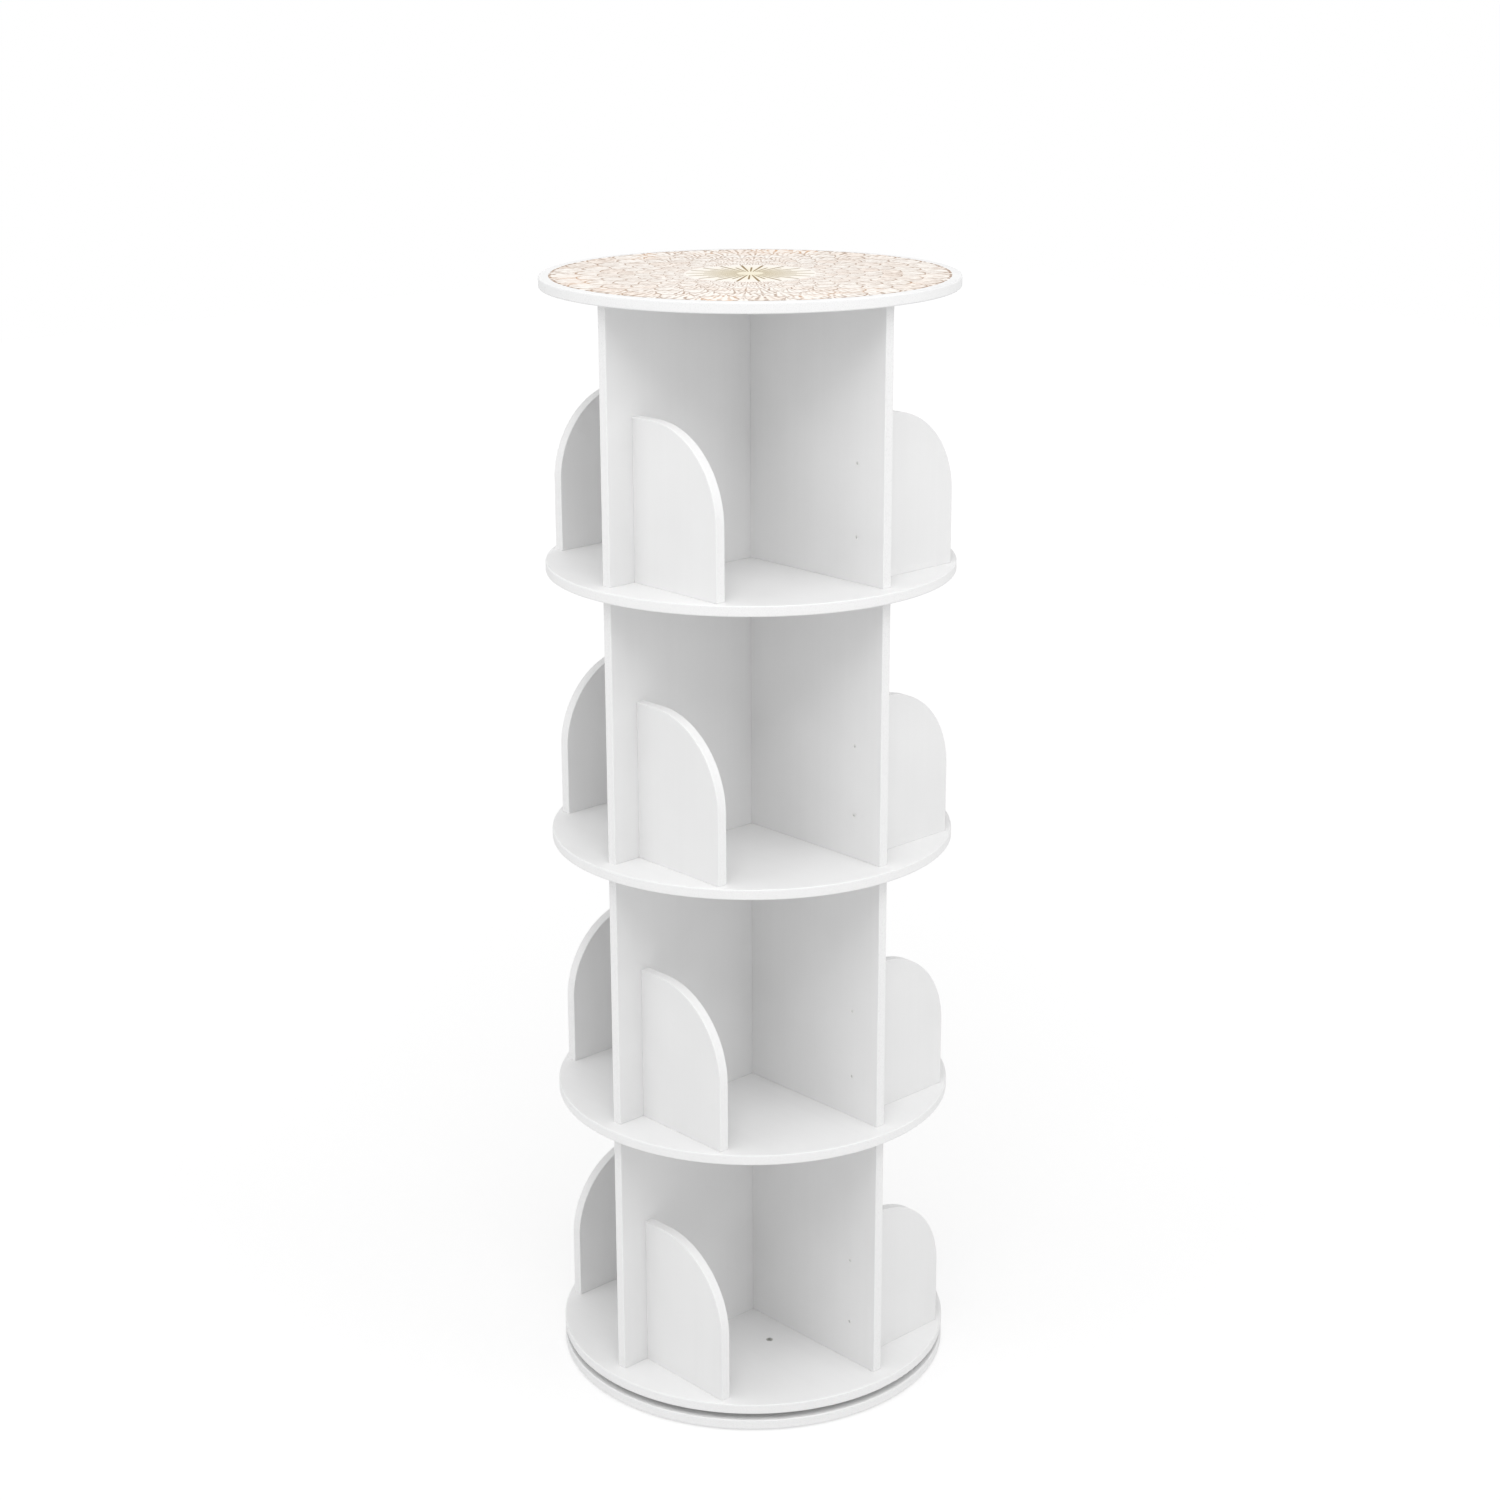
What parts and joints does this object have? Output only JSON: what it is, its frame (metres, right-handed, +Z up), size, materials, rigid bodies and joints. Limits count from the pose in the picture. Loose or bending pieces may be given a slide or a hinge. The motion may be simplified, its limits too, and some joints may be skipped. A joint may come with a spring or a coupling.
{
  "type": "revolving media tower",
  "caption": "Tall round tower that turns on a ball-ring base, with stacked disc shelves, crossed upright boards, low quarter-round fences and a printed top.",
  "frame": {"origin": "on the floor at the turning axis, the centre of the base's footprint", "axes": "+Z up along the turning axis; +X and +Y along the two crossed uprights at rest"},
  "size_m": [0.4599, 0.46, 1.29],
  "materials": {
    "white_board": "satin white skin of foamed board, edges as cut and eased",
    "printed_board": "satin white board with a cream and tan pattern printed on its upper face",
    "ring_aluminium": "as extruded, lightly brushed",
    "zinc_steel": "bright zinc plated",
    "white_screw": "satin white lacquered head",
    "ball_steel": "polished bearing steel",
    "cage_nylon": "natural nylon band",
    "pad_foam": "dense dark foam rubber",
    "beech": "plain turned beech",
    "white_bracket": "satin white powder coat"
  },
  "bodies": {
    "base": {"base_disc": "white_board", "foot_pads": "pad_foam", "turntable_outer_ring": "ring_aluminium", "turntable_base_screws": "zinc_steel"},
    "ball_ring": {"turntable_balls": "ball_steel", "ball_cage": "cage_nylon"},
    "tower": {"turntable_inner_ring": "ring_aluminium", "turntable_floor_bolts": "zinc_steel", "floor_disc": "white_board", "floor_upright_screws": "zinc_steel", "shelf_disc_1": "white_board", "shelf_disc_2": "white_board", "shelf_disc_3": "white_board", "shelf_upright_screws": "zinc_steel", "top_disc": "printed_board", "tier1_upright_x": "white_board", "tier1_upright_y": "white_board", "tier2_upright_x": "white_board", "tier2_upright_y": "white_board", "tier3_upright_x": "white_board", "tier3_upright_y": "white_board", "tier4_upright_x": "white_board", "tier4_upright_y": "white_board", "tier1_fence_a": "white_board", "tier1_fence_b": "white_board", "tier1_fence_c": "white_board", "tier1_fence_d": "white_board", "tier2_fence_a": "white_board", "tier2_fence_b": "white_board", "tier2_fence_c": "white_board", "tier2_fence_d": "white_board", "tier3_fence_a": "white_board", "tier3_fence_b": "white_board", "tier3_fence_c": "white_board", "tier3_fence_d": "white_board", "tier4_fence_a": "white_board", "tier4_fence_b": "white_board", "tier4_fence_c": "white_board", "tier4_fence_d": "white_board", "fence_side_screws": "white_screw", "fence_foot_screws": "zinc_steel", "upright_dowels": "beech", "corner_brackets": "white_bracket", "bracket_screws": "zinc_steel"}
  },
  "joints": [
    {"name": "tower_spin", "type": "hinge", "parent": "base", "child": "tower", "pos_m": [0, 0, 0.018], "axis": [0, 0, 1], "continuous": true},
    {"name": "ball_ring_spin", "type": "hinge", "parent": "base", "child": "ball_ring", "pos_m": [0, 0, 0.018], "axis": [0, 0, 1], "continuous": true}
  ],
  "couplings": [
    {"joint": "ball_ring_spin", "follows": "tower_spin", "ratio": 0.5}
  ]
}
